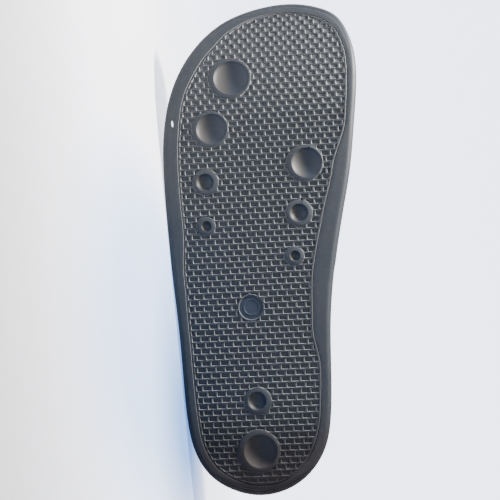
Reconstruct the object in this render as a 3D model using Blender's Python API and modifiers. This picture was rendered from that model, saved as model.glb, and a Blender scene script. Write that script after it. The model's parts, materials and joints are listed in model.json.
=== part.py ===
"""Sport slide sandal for the right foot, lying on its lateral side.

The pieces are modelled standing upright: +X to the lateral side, +Y to the toe, +Z up
from the ground, with the middle of the heel's back edge at X = Y = 0. The empty called
stance then lays the whole sandal down the way it comes to rest: sole edge and strap on
the floor, toe toward -X, outsole toward -Y, footbed and strap toward +Y.
"""

import math

import bmesh
import bpy
import numpy as np
from mathutils import Matrix, Vector

# Driving sizes of the sole, in metres
LENGTH = 0.275
WIDTH = 0.110
RIM_HEIGHT = 0.030
BED_HEIGHT = 0.021
RIM_DROP = 0.0008
RIM_ROUNDING = 0.0020
EDGE_ROUNDING = 0.0030
WALL_LEAN = 0.0014
WALL_STEP = 0.0007
FOOTBED_THICKNESS = 0.0040
FOOTBED_ROUNDING = 0.0008
CLEARANCE = 0.0003

# Toe spring and heel bevel of the ground face: how far each end rises, and the share of
# the length at which the rise starts
TOE_SPRING = 0.0141
TOE_SPRING_START = 0.771
HEEL_BEVEL = 0.0030
HEEL_BEVEL_END = 0.047

# Relief of the ground face
BAND_WIDTH = 0.0075
GROOVE_WIDTH = 0.0014
GROOVE_DEPTH = 0.0010
BOWL_DIAMETER = 0.0175
BOWL_DEPTH = 0.0030
BOWL_SINK = 0.25
DISC_DIAMETER = 0.0136
DISC_DEPTH = 0.0008

# Strap
STRAP_WALL = 0.0032
STRAP_BULGE_LATERAL = 0.0018
STRAP_BULGE_MEDIAL = 0.0004
STRAP_WIDEST_RISE = 0.012
STRAP_TAB_DEPTH = 0.0105
STRAP_BOW_POWER = 1.3
INSTEP_HEIGHT = 0.066

# Sole's rim, which holds the strap's ends in slots: outer wall, slot, inner wall
SLOT_OUTER_WALL = 0.0037
SLOT_INNER_WALL = 0.0025
SLOT_WIDTH = STRAP_WALL + 2 * CLEARANCE
RIM_WIDTH = SLOT_OUTER_WALL + SLOT_WIDTH + SLOT_INNER_WALL
STRAP_INSET = SLOT_OUTER_WALL + SLOT_WIDTH / 2
SLOT_CUT_OVER_RIM = 0.004
SLOT_END_CLEARANCE = 1.5 * CLEARANCE

# Mesh fineness: points, and where the sole's rings lie as shares of the way out from the
# spine or, on its roundings, as turns in degrees
EDGE_POINTS = 80
STRAP_POINTS_AROUND = 52
STRAP_POINTS_ALONG = 12
SLOT_POINTS_DEEP = 5
BOWL_SEGMENTS = 20
PANEL_SHARES = (0.3, 0.65, 1.0)
RECESS_SHARES = (1.0, 0.85, 0.7, 0.5, 0.25)
FOOTBED_SHARES = (0.25, 0.5, 0.7, 0.85, 1.0)
EDGE_TURNS = (0, 30, 60)
RIM_TURNS = (45, 90)
EDGE_SAMPLES = 1201
SECTION_SAMPLES = 401
SLOT_SAMPLES = 241
SHARP_ANGLE = 35

# Weights of the materials, in kilograms per cubic metre
SOLE_DENSITY = 480.0
FOOTBED_DENSITY = 250.0
STRAP_DENSITY = 620.0

# The sole's edge, section by section: from the heel's back along the lateral side to
# the toe and back along the medial side. along is a share of LENGTH, across of WIDTH,
# band of BAND_WIDTH, rim of RIM_HEIGHT over the ground face; cup is the share of the way
# from the middle to the edge at which the footbed starts to rise.
EDGE_COLUMNS = ("along", "across", "band", "rim", "cup")
EDGE_ROWS = (
    (0.000, 0.000, 0.84, 0.90, 0.45),
    (0.015, 0.135, 0.86, 0.93, 0.46),
    (0.049, 0.245, 0.83, 0.97, 0.48),
    (0.096, 0.307, 0.83, 0.95, 0.50),
    (0.158, 0.335, 0.85, 0.93, 0.52),
    (0.236, 0.347, 0.83, 0.90, 0.55),
    (0.331, 0.360, 0.83, 0.87, 0.58),
    (0.427, 0.380, 0.95, 0.83, 0.60),
    (0.524, 0.396, 1.24, 0.80, 0.64),
    (0.622, 0.407, 1.21, 0.78, 0.68),
    (0.721, 0.401, 1.21, 0.77, 0.70),
    (0.804, 0.360, 1.13, 0.78, 0.70),
    (0.873, 0.285, 1.22, 0.76, 0.70),
    (0.927, 0.186, 1.25, 0.70, 0.70),
    (0.964, 0.077, 1.09, 0.64, 0.70),
    (0.992, -0.091, 0.93, 0.58, 0.70),
    (1.000, -0.282, 0.99, 0.56, 0.70),
    (0.988, -0.408, 0.97, 0.59, 0.70),
    (0.964, -0.505, 0.97, 0.63, 0.70),
    (0.922, -0.561, 0.77, 0.69, 0.70),
    (0.876, -0.587, 0.70, 0.74, 0.70),
    (0.811, -0.589, 0.69, 0.79, 0.70),
    (0.729, -0.566, 0.64, 0.80, 0.66),
    (0.629, -0.530, 1.25, 0.84, 0.52),
    (0.527, -0.473, 1.39, 0.93, 0.34),
    (0.427, -0.423, 1.49, 1.02, 0.22),
    (0.327, -0.393, 1.27, 1.04, 0.26),
    (0.236, -0.383, 0.72, 1.03, 0.34),
    (0.156, -0.371, 0.75, 1.01, 0.40),
    (0.089, -0.335, 0.83, 1.00, 0.44),
    (0.042, -0.256, 0.75, 1.00, 0.45),
    (0.011, -0.144, 0.71, 0.94, 0.45),
)

# The middle line that the rings close in on: shares of LENGTH and of WIDTH
SPINE_HEEL = (0.142, -0.015)
SPINE_TOE = (0.825, -0.155)

# Height of the footbed's middle over the ground face, as a share of BED_HEIGHT, at
# shares of LENGTH
BED_COLUMNS = ("along", "height")
BED_ROWS = (
    (0.00, 0.88),
    (0.06, 0.99),
    (0.15, 0.98),
    (0.35, 0.96),
    (0.50, 0.89),
    (0.62, 0.81),
    (0.72, 0.77),
    (0.80, 0.77),
    (0.88, 0.77),
    (0.95, 0.71),
    (1.00, 0.64),
)

# Side wall between the edge's rounding and the rim's. Columns: rise as a share of its
# height, and how far it has come in, as shares of WALL_STEP and of WALL_LEAN
WALL_ROWS = (
    (0.00, 0.0, 0.0),
    (0.30, 0.0, 0.0),
    (0.35, 1.0, 0.2),
    (1.00, 1.0, 1.0),
)

# Round bowls of the tread. Columns: places as shares of LENGTH and of WIDTH, diameter as
# a share of BOWL_DIAMETER and depth of BOWL_DEPTH
BOWL_ROWS = (
    (0.831, 0.041, 1.13, 1.00),
    (0.727, 0.151, 0.97, 0.90),
    (0.647, -0.317, 0.94, 0.90),
    (0.619, 0.196, 0.54, 0.85),
    (0.547, -0.265, 0.56, 0.85),
    (0.530, 0.197, 0.31, 0.65),
    (0.462, -0.235, 0.31, 0.65),
    (0.183, -0.015, 0.55, 0.85),
    (0.087, -0.021, 1.00, 1.00),
)
DISC_ALONG = 0.3735
DISC_ACROSS = -0.007

# Strap, a row for each section from its rear edge to its front edge: the places of its
# lateral end, medial end and crown as shares of LENGTH, and the crown's height over the
# footbed as a share of INSTEP_HEIGHT
STRAP_COLUMNS = ("place", "lateral", "medial", "crown", "height")
STRAP_ROWS = (
    (0.00, 0.385, 0.425, 0.400, 1.00),
    (0.33, 0.466, 0.512, 0.505, 0.94),
    (0.67, 0.546, 0.600, 0.612, 0.84),
    (1.00, 0.625, 0.685, 0.712, 0.73),
)

# Arch of one strap section, from the lateral to the medial widest line. Columns: across
# as a share of the half width, rise of the height from the widest line to the crown
ARCH_ROWS = (
    (1.00, 0.00),
    (0.89, 0.41),
    (0.60, 0.77),
    (0.24, 0.955),
    (-0.12, 1.00),
    (-0.48, 0.925),
    (-0.80, 0.66),
    (-0.96, 0.34),
    (-1.00, 0.00),
)


def column(rows, columns, name):
    """One named column of a table, as an array."""
    return np.array([row[columns.index(name)] for row in rows])


def cubic_slopes(knots, values, closed):
    """Slopes at the knots of the cubic spline through the values."""
    spans = np.diff(knots)
    rises = np.diff(values) / spans
    count = len(knots)
    system = np.zeros((count, count))
    target = np.zeros(count)
    for i in range(1, count - 1):
        before, after = spans[i - 1], spans[i]
        system[i, i - 1] = 1 / before
        system[i, i] = 2 / before + 2 / after
        system[i, i + 1] = 1 / after
        target[i] = 3 * (rises[i - 1] / before + rises[i] / after)
    if closed:
        first, last = spans[0], spans[-1]
        system[0, -2] = 1 / last
        system[0, 0] = 2 / last + 2 / first
        system[0, 1] = 1 / first
        target[0] = 3 * (rises[-1] / last + rises[0] / first)
        system[-1, 0] = 1.0
        system[-1, -1] = -1.0
    else:
        system[0, 0], system[0, 1], target[0] = 2.0, 1.0, 3 * rises[0]
        system[-1, -1], system[-1, -2], target[-1] = 2.0, 1.0, 3 * rises[-1]
    return np.linalg.solve(system, target)


def cubic(knots, values, at, closed=False):
    """The cubic spline through the values at the knots, read at other places."""
    knots = np.asarray(knots, dtype=float)
    values = np.asarray(values, dtype=float)
    at = np.asarray(at, dtype=float)
    slopes = cubic_slopes(knots, values, closed)
    i = np.clip(np.searchsorted(knots, at, side="right") - 1, 0, len(knots) - 2)
    span = knots[i + 1] - knots[i]
    t = (at - knots[i]) / span
    start = (1 + 2 * t) * (1 - t) ** 2 * values[i] + t * (1 - t) ** 2 * span * slopes[i]
    end = t * t * (3 - 2 * t) * values[i + 1] - t * t * (1 - t) * span * slopes[i + 1]
    return start + end


def running_length(points):
    """Distance along a line of points, from its first one."""
    steps = np.linalg.norm(np.diff(points, axis=0), axis=1)
    return np.concatenate([[0.0], np.cumsum(steps)])


def ground(y):
    """Height of the ground face: flat, with a toe spring and a bevelled heel."""
    share = np.asarray(y) / LENGTH
    toe = np.maximum(0.0, share - TOE_SPRING_START) / (1 - TOE_SPRING_START)
    heel = np.maximum(0.0, HEEL_BEVEL_END - share) / HEEL_BEVEL_END
    return TOE_SPRING * toe**2 + HEEL_BEVEL * heel**2


def bed_middle(y):
    """Height of the footbed's middle line at a distance y from the heel."""
    along = column(BED_ROWS, BED_COLUMNS, "along")
    height = column(BED_ROWS, BED_COLUMNS, "height")
    share = np.clip(np.asarray(y) / LENGTH, 0.0, 1.0)
    return ground(y) + BED_HEIGHT * cubic(along, height, share)


class Edge:
    """The sole's outer edge, read at evenly spaced points around it."""

    def __init__(self, count):
        along = column(EDGE_ROWS, EDGE_COLUMNS, "along") * LENGTH
        across = column(EDGE_ROWS, EDGE_COLUMNS, "across") * WIDTH
        rows = np.column_stack([across, along])
        rows = np.vstack([rows, rows[:1]])
        knots = running_length(rows)
        fine = np.linspace(0.0, knots[-1], EDGE_SAMPLES)
        line = np.column_stack([cubic(knots, rows[:, k], fine, True) for k in (0, 1)])
        travelled = running_length(line)
        even = np.linspace(0.0, travelled[-1], count + 1)[:-1]
        at = np.interp(even, travelled, fine)
        self.points = np.column_stack([cubic(knots, rows[:, k], at, True) for k in (0, 1)])
        self.band = self.read(knots, at, "band") * BAND_WIDTH
        self.rim = ground(self.points[:, 1]) + self.read(knots, at, "rim") * RIM_HEIGHT
        self.cup = self.read(knots, at, "cup")
        ahead = np.roll(self.points, -1, axis=0) - np.roll(self.points, 1, axis=0)
        ahead /= np.linalg.norm(ahead, axis=1)[:, None]
        self.outward = np.column_stack([ahead[:, 1], -ahead[:, 0]])
        heel = np.array([SPINE_HEEL[1] * WIDTH, SPINE_HEEL[0] * LENGTH])
        toe = np.array([SPINE_TOE[1] * WIDTH, SPINE_TOE[0] * LENGTH])
        share = (self.points - heel) @ (toe - heel) / ((toe - heel) @ (toe - heel))
        self.spine = heel + np.clip(share, 0.0, 1.0)[:, None] * (toe - heel)

    def read(self, knots, at, name):
        """A table column, blended straight from row to row."""
        values = column(EDGE_ROWS, EDGE_COLUMNS, name)
        return np.interp(at, knots, np.append(values, values[0]))

    def inset(self, distance):
        """The edge moved inward by a distance, one for all or one for each point."""
        return self.points - self.outward * np.reshape(distance, (-1, 1))

    def shrunk(self, line, share):
        """A line round the sole, drawn in toward the spine to a share of its way."""
        return self.spine + share * (line - self.spine)

    def side(self, y, lateral):
        """Where the edge's lateral or medial side is at y, and the rim's height there."""
        toe = int(np.argmax(self.points[:, 1]))
        last = len(self.points) - 1
        order = np.arange(0, toe + 1) if lateral else np.arange(last, toe - 1, -1)
        ys = self.points[order, 1]
        return np.interp(y, ys, self.points[order, 0]), np.interp(y, ys, self.rim[order])


def bed(edge, share, line):
    """Height of the footbed's top over a ring that lies at a share of the way out."""
    rise = np.clip((share - edge.cup) / (1.0 - edge.cup), 0.0, 1.0) ** 2
    lip = edge.rim - RIM_DROP - bed_middle(edge.points[:, 1])
    return bed_middle(line[:, 1]) + lip * rise


def ring(line, height):
    """A closed ring of points: a line in plan and its heights."""
    return np.column_stack([line, np.broadcast_to(height, len(line))])


def loft(name, rings, collection):
    """A closed solid through a row of rings, capped at its first and last one."""
    shape = bmesh.new()
    loops = [[shape.verts.new(point) for point in points] for points in rings]
    for one, other in zip(loops, loops[1:]):
        for i in range(len(one)):
            j = (i + 1) % len(one)
            shape.faces.new((one[i], one[j], other[j], other[i]))
    shape.faces.new(list(reversed(loops[0])))
    shape.faces.new(loops[-1])
    bmesh.ops.triangulate(shape, faces=shape.faces[:])
    bmesh.ops.recalc_face_normals(shape, faces=shape.faces[:])
    return finished(name, shape, collection)


def finished(name, shape, collection):
    """An object made of a finished bmesh, linked to its collection."""
    mesh = bpy.data.meshes.new(name)
    shape.to_mesh(mesh)
    shape.free()
    made = bpy.data.objects.new(name, mesh)
    collection.objects.link(made)
    return made


def material(name, colour, roughness):
    """A plain Principled material."""
    made = bpy.data.materials.new(name)
    made.use_nodes = True
    shader = made.node_tree.nodes["Principled BSDF"]
    shader.inputs["Base Color"].default_value = (*colour, 1.0)
    shader.inputs["Roughness"].default_value = roughness
    shader.inputs["Metallic"].default_value = 0.0
    return made


def smooth(made, paint):
    """Smooth shading with sharp edges kept, and the object's material."""
    made.data.materials.append(paint)
    made.data.shade_smooth()
    made.data.set_sharp_from_angle(angle=math.radians(SHARP_ANGLE))


def outsole_rings(edge):
    """Rings of the moulded sole, from the middle of its ground face round to its bed."""
    rings = []
    panel = edge.inset(edge.band + GROOVE_WIDTH / 2)
    for share in PANEL_SHARES:
        line = edge.shrunk(panel, share)
        rings.append(ring(line, ground(line[:, 1])))
    line = edge.inset(edge.band)
    rings.append(ring(line, ground(line[:, 1]) + GROOVE_DEPTH))
    line = edge.inset(edge.band - GROOVE_WIDTH / 2)
    rings.append(ring(line, ground(line[:, 1])))

    low = ground(edge.points[:, 1]) + EDGE_ROUNDING
    for turn in np.radians(EDGE_TURNS):
        line = edge.inset(EDGE_ROUNDING * (1 - math.sin(turn)))
        rings.append(ring(line, low - EDGE_ROUNDING * math.cos(turn)))
    high = edge.rim - RIM_ROUNDING
    for rise, step, lean in WALL_ROWS:
        line = edge.inset(step * WALL_STEP + lean * WALL_LEAN)
        rings.append(ring(line, low + rise * (high - low)))
    for turn in np.radians(RIM_TURNS):
        inset = WALL_STEP + WALL_LEAN + RIM_ROUNDING * (1 - math.cos(turn))
        rings.append(ring(edge.inset(inset), high + RIM_ROUNDING * math.sin(turn)))

    line = edge.inset(RIM_WIDTH)
    rings.append(ring(line, edge.rim - RIM_DROP))
    under = FOOTBED_THICKNESS + CLEARANCE
    for share in RECESS_SHARES:
        inner = edge.shrunk(line, share)
        rings.append(ring(inner, bed(edge, share, inner) - under))
    return rings


def footbed_rings(edge):
    """Rings of the cupped footbed, from under its middle round to its top."""
    rings = []
    rim = edge.inset(RIM_WIDTH + CLEARANCE)
    for share in FOOTBED_SHARES:
        line = edge.shrunk(rim, share)
        rings.append(ring(line, bed(edge, share, line) - FOOTBED_THICKNESS))
    rings.append(ring(rim, bed(edge, 1.0, rim) - FOOTBED_ROUNDING))
    lip = edge.inset(RIM_WIDTH + CLEARANCE + FOOTBED_ROUNDING)
    for share in reversed(FOOTBED_SHARES):
        line = edge.shrunk(lip, share)
        rings.append(ring(line, bed(edge, share, line)))
    return rings


def strap_row(place, name):
    """A column of the strap's table, read between its rows."""
    places = column(STRAP_ROWS, STRAP_COLUMNS, "place")
    return float(cubic(places, column(STRAP_ROWS, STRAP_COLUMNS, name), place))


def strap_section(edge, place, around, tab_depth):
    """Middle line of the strap's wall at one place between its rear and front edges."""
    lateral_y = strap_row(place, "lateral") * LENGTH
    medial_y = strap_row(place, "medial") * LENGTH
    crown_y = strap_row(place, "crown") * LENGTH
    lateral_x, lateral_rim = edge.side(lateral_y, True)
    medial_x, medial_rim = edge.side(medial_y, False)
    half_wall = STRAP_WALL / 2
    wide_lateral = lateral_x + STRAP_BULGE_LATERAL - half_wall
    wide_medial = medial_x - STRAP_BULGE_MEDIAL + half_wall
    middle = (wide_lateral + wide_medial) / 2
    half = (wide_lateral - wide_medial) / 2
    crown = bed_middle(crown_y) + strap_row(place, "height") * INSTEP_HEIGHT
    widest = RIM_HEIGHT + STRAP_WIDEST_RISE
    arch = [
        (middle + across * half, widest + rise * (crown - widest))
        for across, rise in ARCH_ROWS
    ]
    lateral_foot = lateral_x - STRAP_INSET
    medial_foot = medial_x + STRAP_INSET
    line = [(lateral_foot, lateral_rim - tab_depth), (lateral_foot, lateral_rim)]
    line += arch
    line += [(medial_foot, medial_rim), (medial_foot, medial_rim - tab_depth)]
    line = np.array(line)
    knots = running_length(line)
    fine = np.linspace(0.0, knots[-1], SECTION_SAMPLES)
    curve = np.column_stack([cubic(knots, line[:, k], fine) for k in (0, 1)])
    travelled = running_length(curve)
    share = travelled / travelled[-1]
    xs = np.interp(around, share, curve[:, 0])
    zs = np.interp(around, share, curve[:, 1])
    push = crown_y - (lateral_y + medial_y) / 2
    bow = np.clip(np.sin(math.pi * np.asarray(around)), 0.0, 1.0) ** STRAP_BOW_POWER
    ys = lateral_y + (medial_y - lateral_y) * np.asarray(around) + push * bow
    return np.column_stack([xs, ys, zs])


def strap_surface(name, sections, wall, collection):
    """An open surface through the strap's sections, thickened to its wall."""
    shape = bmesh.new()
    grid = [[shape.verts.new(point) for point in section] for section in sections]
    for one, other in zip(grid, grid[1:]):
        for i in range(len(one) - 1):
            shape.faces.new((one[i], other[i], other[i + 1], one[i + 1]))
    bmesh.ops.recalc_face_normals(shape, faces=shape.faces[:])
    made = finished(name, shape, collection)
    thick = made.modifiers.new("wall", "SOLIDIFY")
    thick.thickness = wall
    thick.offset = 0.0
    thick.use_even_offset = True
    return made


def strap(edge, collection):
    """The wide band over the instep: one wall, its two ends let into the sole."""
    around = np.linspace(0.0, 1.0, STRAP_POINTS_AROUND)
    places = np.linspace(0.0, 1.0, STRAP_POINTS_ALONG)
    sections = [strap_section(edge, place, around, STRAP_TAB_DEPTH) for place in places]
    return strap_surface("strap", sections, STRAP_WALL, collection)


def slot_cutter(edge, name, lateral, collection):
    """The space that one end of the strap needs in the rim, with its clearance."""
    side = "lateral" if lateral else "medial"
    width = (strap_row(1.0, side) - strap_row(0.0, side)) * LENGTH
    slack = SLOT_END_CLEARANCE / width
    places = np.linspace(-slack, 1.0 + slack, STRAP_POINTS_ALONG)
    deep = STRAP_TAB_DEPTH + 2 * CLEARANCE
    sections = []
    for place in places:
        around = np.linspace(0.0, 1.0, SLOT_SAMPLES)
        line = strap_section(edge, place, around, deep)
        if not lateral:
            line = line[::-1]
        top = line[0, 2] + deep + SLOT_CUT_OVER_RIM
        length = int(np.argmax(line[:, 2] > top))
        picks = np.linspace(0, length, SLOT_POINTS_DEEP).astype(int)
        sections.append(line[picks])
    return strap_surface(name, sections, SLOT_WIDTH, collection)


def bowl_cutter(name, along, across, radius, depth, collection):
    """A flattened ball that sinks one round bowl into the ground face."""
    bpy.ops.mesh.primitive_uv_sphere_add(
        segments=BOWL_SEGMENTS, ring_count=BOWL_SEGMENTS // 2 + 1, radius=1.0
    )
    made = bpy.context.object
    made.name = name
    tall = depth * (1 + BOWL_SINK)
    wide = radius / math.sqrt(1 - (BOWL_SINK / (1 + BOWL_SINK)) ** 2)
    place_on_ground(made, along, across, -BOWL_SINK * depth, (wide, wide, tall))
    move_to(made, collection)
    return made


def disc_cutter(name, collection):
    """A flat drum that sinks the plain disc into the ground face."""
    bpy.ops.mesh.primitive_cylinder_add(vertices=2 * BOWL_SEGMENTS, radius=1.0, depth=2.0)
    made = bpy.context.object
    made.name = name
    size = (DISC_DIAMETER / 2, DISC_DIAMETER / 2, DISC_DEPTH)
    place_on_ground(made, DISC_ALONG, DISC_ACROSS, 0.0, size)
    move_to(made, collection)
    return made


def place_on_ground(made, along, across, lift, size):
    """Stands a cutter square on the ground face, which slopes at the toe."""
    y = along * LENGTH
    reach = WIDTH / 100
    slope = float(ground(y + reach) - ground(y - reach)) / (2 * reach)
    turn = Matrix.Rotation(math.atan(slope), 4, "X")
    spot = Vector((across * WIDTH, y, float(ground(y)))) + turn @ Vector((0, 0, lift))
    scale = Matrix.Diagonal((*size, 1.0))
    made.data.transform(Matrix.Translation(spot) @ turn @ scale)


def move_to(made, collection):
    """Takes an object out of the collections that it is in and links it to this one."""
    for owner in list(made.users_collection):
        owner.objects.unlink(made)
    collection.objects.link(made)


def cut(made, cutters):
    """Cuts a solid with every object in a collection."""
    for tool in cutters.objects:
        tool.hide_render = True
        tool.display_type = "WIRE"
    modifier = made.modifiers.new("cuts", "BOOLEAN")
    modifier.operation = "DIFFERENCE"
    modifier.solver = "EXACT"
    modifier.operand_type = "COLLECTION"
    modifier.collection = cutters


def evaluated_shape(made):
    """The object's evaluated mesh as a triangulated bmesh, in world space."""
    shape = bmesh.new()
    shape.from_object(made, bpy.context.evaluated_depsgraph_get())
    shape.transform(made.matrix_world)
    bmesh.ops.triangulate(shape, faces=shape.faces[:])
    return shape


def balance_point(parts, densities):
    """Centre of mass of the parts, and all their corners."""
    moment, mass, corners = Vector((0, 0, 0)), 0.0, []
    for made, density in zip(parts, densities):
        shape = evaluated_shape(made)
        for face in shape.faces:
            a, b, c = (vert.co for vert in face.verts)
            weight = density * a.dot(b.cross(c)) / 6
            mass += weight
            moment += weight * (a + b + c) / 4
        corners += [vert.co.copy() for vert in shape.verts]
        shape.free()
    return moment / mass, corners


def resting_normal(centre, corners):
    """Outward normal of the lateral hull face that the balance point lies over."""
    hull = bmesh.new()
    for corner in corners:
        hull.verts.new(corner)
    bmesh.ops.convex_hull(hull, input=hull.verts[:])
    best = None
    for face in hull.faces:
        a, b, c = (vert.co for vert in face.verts[:3])
        normal = (b - a).cross(c - a).normalized()
        if normal.dot(a - centre) < 0:
            a, b, normal = b, a, -normal
        foot = centre + normal * normal.dot(a - centre)
        inside = all(
            (q - p).cross(foot - p).dot(normal) >= 0 for p, q in ((a, b), (b, c), (c, a))
        )
        if inside and (best is None or normal.x > best.x):
            best = normal.copy()
    hull.free()
    return best


def lay_down(stance, parts, densities):
    """Turns the upright sandal onto its lateral side, its box centred on the origin."""
    centre, corners = balance_point(parts, densities)
    up = -resting_normal(centre, corners)
    heelward = Vector((0, -1, 0))
    heelward = (heelward - up * up.dot(heelward)).normalized()
    turn = Matrix((heelward, up.cross(heelward), up))
    turned = np.array([turn @ corner for corner in corners])
    low, high = turned.min(axis=0), turned.max(axis=0)
    middle = (low + high) / 2
    shift = Vector((-middle[0], -middle[1], -low[2]))
    stance.matrix_world = Matrix.Translation(shift) @ turn.to_4x4()


def main():
    for old in list(bpy.data.objects):
        bpy.data.objects.remove(old, do_unlink=True)
    scene = bpy.context.scene
    pieces = bpy.data.collections.new("slide_sandal")
    cutters = bpy.data.collections.new("sole_cutters")
    scene.collection.children.link(pieces)
    scene.collection.children.link(cutters)

    edge = Edge(EDGE_POINTS)
    outsole = loft("outsole", outsole_rings(edge), pieces)
    smooth(outsole, material("black_rubber", (0.045, 0.047, 0.052), 0.5))
    footbed = loft("footbed", footbed_rings(edge), pieces)
    smooth(footbed, material("black_foam", (0.035, 0.036, 0.040), 0.65))
    band = strap(edge, pieces)
    smooth(band, material("black_upper", (0.030, 0.031, 0.035), 0.45))

    slot_cutter(edge, "slot_lateral", True, cutters)
    slot_cutter(edge, "slot_medial", False, cutters)
    for number, (along, across, bowl, depth) in enumerate(BOWL_ROWS, start=1):
        radius = bowl * BOWL_DIAMETER / 2
        bowl_cutter(f"bowl_{number}", along, across, radius, depth * BOWL_DEPTH, cutters)
    disc_cutter("disc", cutters)
    cut(outsole, cutters)

    stance = bpy.data.objects.new("stance", None)
    pieces.objects.link(stance)
    bpy.context.view_layer.update()
    parts = [outsole, footbed, band]
    lay_down(stance, parts, (SOLE_DENSITY, FOOTBED_DENSITY, STRAP_DENSITY))
    for made in parts + list(cutters.objects):
        made.parent = stance


main()
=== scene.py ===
"""Looks of the sport slide sandal, a right shoe that lies on its lateral side.

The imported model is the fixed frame. Shapes are worked out standing upright, in metres:
+X to the lateral side, +Y to the toe, +Z up from the ground, and finished() lays them
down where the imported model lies. The camera looks at the ground face, rolled as in the photo.
"""

import json
import math

import bmesh
import bpy
import numpy as np
from mathutils import Matrix, Vector
from mathutils.geometry import delaunay_2d_cdt


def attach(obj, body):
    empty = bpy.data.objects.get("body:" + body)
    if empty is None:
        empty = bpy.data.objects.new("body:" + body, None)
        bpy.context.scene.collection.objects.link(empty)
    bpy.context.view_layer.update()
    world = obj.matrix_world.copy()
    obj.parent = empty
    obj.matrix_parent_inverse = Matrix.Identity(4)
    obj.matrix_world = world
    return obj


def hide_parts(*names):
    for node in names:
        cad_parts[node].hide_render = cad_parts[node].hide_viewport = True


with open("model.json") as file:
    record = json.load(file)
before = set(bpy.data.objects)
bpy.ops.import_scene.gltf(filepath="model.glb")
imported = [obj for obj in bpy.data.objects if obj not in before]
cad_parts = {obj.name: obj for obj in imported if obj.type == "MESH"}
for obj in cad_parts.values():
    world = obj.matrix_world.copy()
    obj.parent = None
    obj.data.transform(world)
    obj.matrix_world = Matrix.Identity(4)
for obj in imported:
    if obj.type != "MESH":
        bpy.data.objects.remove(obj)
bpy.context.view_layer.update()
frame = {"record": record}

# Sizes of the model, in metres. The rim's rounding is a little tighter than the solid's,
# because the slots' rings start right beside it.
LENGTH = 0.275
WIDTH = 0.110
RIM_HEIGHT = 0.030
BED_HEIGHT = 0.021
RIM_DROP = 0.0008
RIM_ROUNDING = 0.0015
EDGE_ROUNDING = 0.0030
WALL_LEAN = 0.0014
WALL_STEP = 0.0007
FOOTBED_THICKNESS = 0.0040
FOOTBED_ROUNDING = 0.0008
CLEARANCE = 0.0003
TOE_SPRING = 0.0141
TOE_SPRING_START = 0.771
HEEL_BEVEL = 0.0030
HEEL_BEVEL_END = 0.047
BAND_WIDTH = 0.0075
GROOVE_WIDTH = 0.0014
GROOVE_DEPTH = 0.0010
BOWL_DIAMETER = 0.0175
BOWL_DEPTH = 0.0030
DISC_DIAMETER = 0.0136
DISC_DEPTH = 0.0008
DISC_ALONG = 0.3735
DISC_ACROSS = -0.007
STRAP_WALL = 0.0032
STRAP_BULGE_LATERAL = 0.0018
STRAP_BULGE_MEDIAL = 0.0004
STRAP_WIDEST_RISE = 0.012
STRAP_TAB_DEPTH = 0.0105
STRAP_BOW_POWER = 1.3
INSTEP_HEIGHT = 0.066
SLOT_OUTER_WALL = 0.0037
SLOT_INNER_WALL = 0.0025
SLOT_WIDTH = STRAP_WALL + 2 * CLEARANCE
RIM_WIDTH = SLOT_OUTER_WALL + SLOT_WIDTH + SLOT_INNER_WALL
STRAP_INSET = SLOT_OUTER_WALL + SLOT_WIDTH / 2
SLOT_TAPER = 0.00002

# Round the footbed's recess: drop of the rim's inner wall as a share of RIM_DROP, rings of
# its lip (distance before the recess, drop), and the height of the recess wall
INNER_WALL_DROP = 0.4
RECESS_LIP = ((0.0006, 0.8), (0.0001, 1.2))
RECESS_WALL = 0.001

# Where the record's two flat mounts are on the upright shoe: along and across
HEEL_MOUNT = (0.262, -0.02)
FOREFOOT_MOUNT = (0.705, -0.07)

# The camera as worked out from the tread's rows in the photo: where it stands from the
# upright shoe, and how it is turned against the ground face, in degrees
CAMERA_SPOT = (-0.0304, 0.0892, -0.4324)
CAMERA_PITCH = -5.39
CAMERA_YAW = 4.07
CAMERA_ROLL = -2.68
CAMERA_FOCUS_PX = 800.0
PICTURE_PX = 500.0

# Tread: pitch of the bricks and rows, where they start, ribs and cells. A cell is sunk
# in steps, each an inset and a share of the depth.
BRICK_PITCH = 0.00503
ROW_PITCH = 0.00328
BRICK_START = 0.00245
ROW_START = -0.00022
RIB_WIDTH = 0.00036
TREAD_MARGIN = 0.00018
CELL_DEPTH = 0.00100
CELL_STEPS = (
    (0.00004, 0.04),
    (0.00008, 0.26),
    (0.00011, 0.34),
    (0.00011, 0.26),
    (0.00008, 0.10),
)
NARROWEST_CELL = 0.00062
LONGEST_INSET = 1.5

# Wear of the cells: share left at the heel, where it ends, share lost at the toe and
# where that starts and ends
HEEL_DEPTH_LEFT = 0.35
HEEL_WORN = (0.006, 0.032)
TOE_DEPTH_LOST = 0.28
TOE_WORN = (0.185, 0.245)

# Bowls with their bosses, the groove round the tread (across, depth, and the share of the
# cells' colouring each ring takes: lighter walls, a painted highlight, and near 1 their floor),
# the disc and the pits. The steps place circles of corners beside the disc's ring and lip.
BOWL_POWER = 1.8
BOWL_FULLNESS = 0.62
BOSS_RAISE = 0.00020
BOSS_LIP = 0.00030
LIP_WIDTH = 0.00035
VEE_WIDTH = 0.00105
VEE_ROWS = (
    (0.40, 0.05, 0.0),
    (0.30, 0.25, 0.3),
    (0.10, 0.72, 0.5),
    (0.00, 0.80, 1.0),
    (-0.10, 0.72, 0.9),
    (-0.32, 0.25, 1.0),
    (-0.44, 0.05, 0.0),
    (-0.60, 0.00, 0.0),
)
RING_MARK_RADIUS = 0.0042
RING_MARK_WIDTH = 0.0006
RING_MARK_HEIGHT = 0.00025
RING_STEPS = (-1.6, -1.0, -0.5, 0.5, 1.0, 1.6)
LIP_STEPS = (-1.6, -1.0, 0.0, 0.33)
PIT_RADIUS = 0.00055
PIT_DEPTH = 0.0008
PIT_SPREAD = 1.2

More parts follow.
